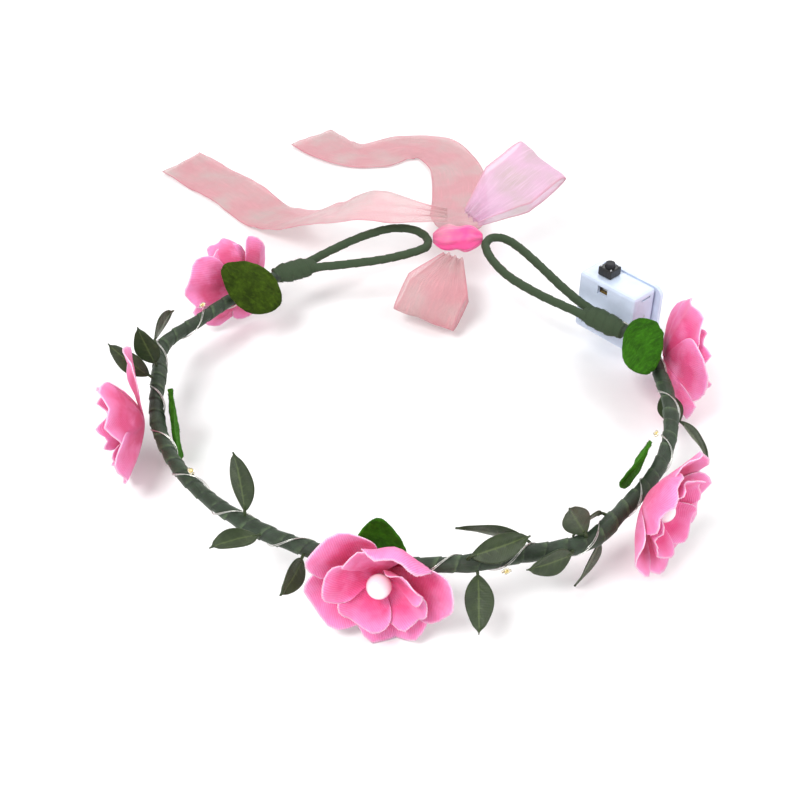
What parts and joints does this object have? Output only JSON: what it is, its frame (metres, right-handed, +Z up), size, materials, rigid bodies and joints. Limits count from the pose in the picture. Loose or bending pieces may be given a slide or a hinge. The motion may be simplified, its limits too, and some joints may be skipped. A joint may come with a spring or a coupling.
{
  "type": "flower crown",
  "caption": "Lighted flower crown: taped wire band with pink fabric flowers, pearl centres, leaves, string of lights, coin cell box and sheer ribbon bow tying its end loops.",
  "frame": {"origin": "centre of the head opening, in the middle plane of the band", "axes": "+Z up when worn, out of the top of the head opening; -Y to the front flower; +X to the wearer's left, where the battery box is"},
  "size_m": [0.2175, 0.3322, 0.0459],
  "materials": {
    "core_steel": "plain drawn wire",
    "stem_tape": "dark green crepe floral tape, wound in a spiral, faint waxy sheen",
    "petal_fabric": "pink woven satin-back fabric with a fine rib, frayed paler edges",
    "felt": "thick green felt, matt",
    "satin_leaf": "dark green satin fabric with pressed veins",
    "pearl": "pearlescent white bead",
    "light_lead": "fine silver-coloured lighting wire",
    "led_resin": "clear resin drop over a warm white LED",
    "white_plastic": "bluish white moulded plastic, satin",
    "black_plastic": "black moulded plastic",
    "cell_steel": "nickel-plated steel",
    "contact_brass": "bright spring brass",
    "circuit_board": "green glass-fibre board",
    "organza": "sheer pale pink organza with a fine woven grid and a firm edge",
    "knot_ribbon": "the same organza pulled tight, deeper pink"
  },
  "bodies": {
    "crown": {"core_wire": "core_steel", "band_wrap": "stem_tape", "left_end_loop": "stem_tape", "right_end_loop": "stem_tape", "left_loop_binding": "stem_tape", "right_loop_binding": "stem_tape", "flower_1_outer_petals": "petal_fabric", "flower_1_inner_petals": "petal_fabric", "flower_1_pearl": "pearl", "flower_1_felt_leaf": "felt", "flower_2_outer_petals": "petal_fabric", "flower_2_inner_petals": "petal_fabric", "flower_2_pearl": "pearl", "flower_2_felt_leaf": "felt", "flower_3_outer_petals": "petal_fabric", "flower_3_inner_petals": "petal_fabric", "flower_3_pearl": "pearl", "flower_3_felt_leaf": "felt", "flower_4_outer_petals": "petal_fabric", "flower_4_inner_petals": "petal_fabric", "flower_4_pearl": "pearl", "flower_4_felt_leaf": "felt", "flower_5_outer_petals": "petal_fabric", "flower_5_inner_petals": "petal_fabric", "flower_5_pearl": "pearl", "flower_5_felt_leaf": "felt", "leaf_01": "satin_leaf", "leaf_02": "satin_leaf", "leaf_03": "satin_leaf", "leaf_04": "satin_leaf", "leaf_05": "satin_leaf", "leaf_06": "satin_leaf", "leaf_07": "satin_leaf", "leaf_08": "satin_leaf", "leaf_09": "satin_leaf", "leaf_10": "satin_leaf", "leaf_11": "satin_leaf", "leaf_12": "satin_leaf", "leaf_13": "satin_leaf", "leaf_14": "satin_leaf", "leaf_15": "satin_leaf", "light_wire": "light_lead", "led_1": "led_resin", "led_2": "led_resin", "led_3": "led_resin", "led_4": "led_resin", "battery_case": "white_plastic", "switch_base": "black_plastic", "coin_cell_1": "cell_steel", "coin_cell_2": "cell_steel", "contact_plate": "contact_brass", "contact_spring": "contact_brass", "circuit_board": "circuit_board", "bow_loop_right": "organza", "bow_loop_lower": "organza", "ribbon_tail_up": "organza", "ribbon_tail_left": "organza", "bow_knot": "knot_ribbon"},
    "battery_cover": {"battery_cover": "white_plastic"},
    "power_button": {"power_button": "black_plastic"}
  },
  "joints": [
    {"name": "cover_slide", "type": "slide", "parent": "crown", "child": "battery_cover", "axis": [-0.6743, 0.7385, 0], "range_m": [0, 0.018]},
    {"name": "button_press", "type": "slide", "parent": "crown", "child": "power_button", "axis": [0, 0, -1], "range_m": [0, 0.00025], "stiffness_N_per_m": 600}
  ]
}
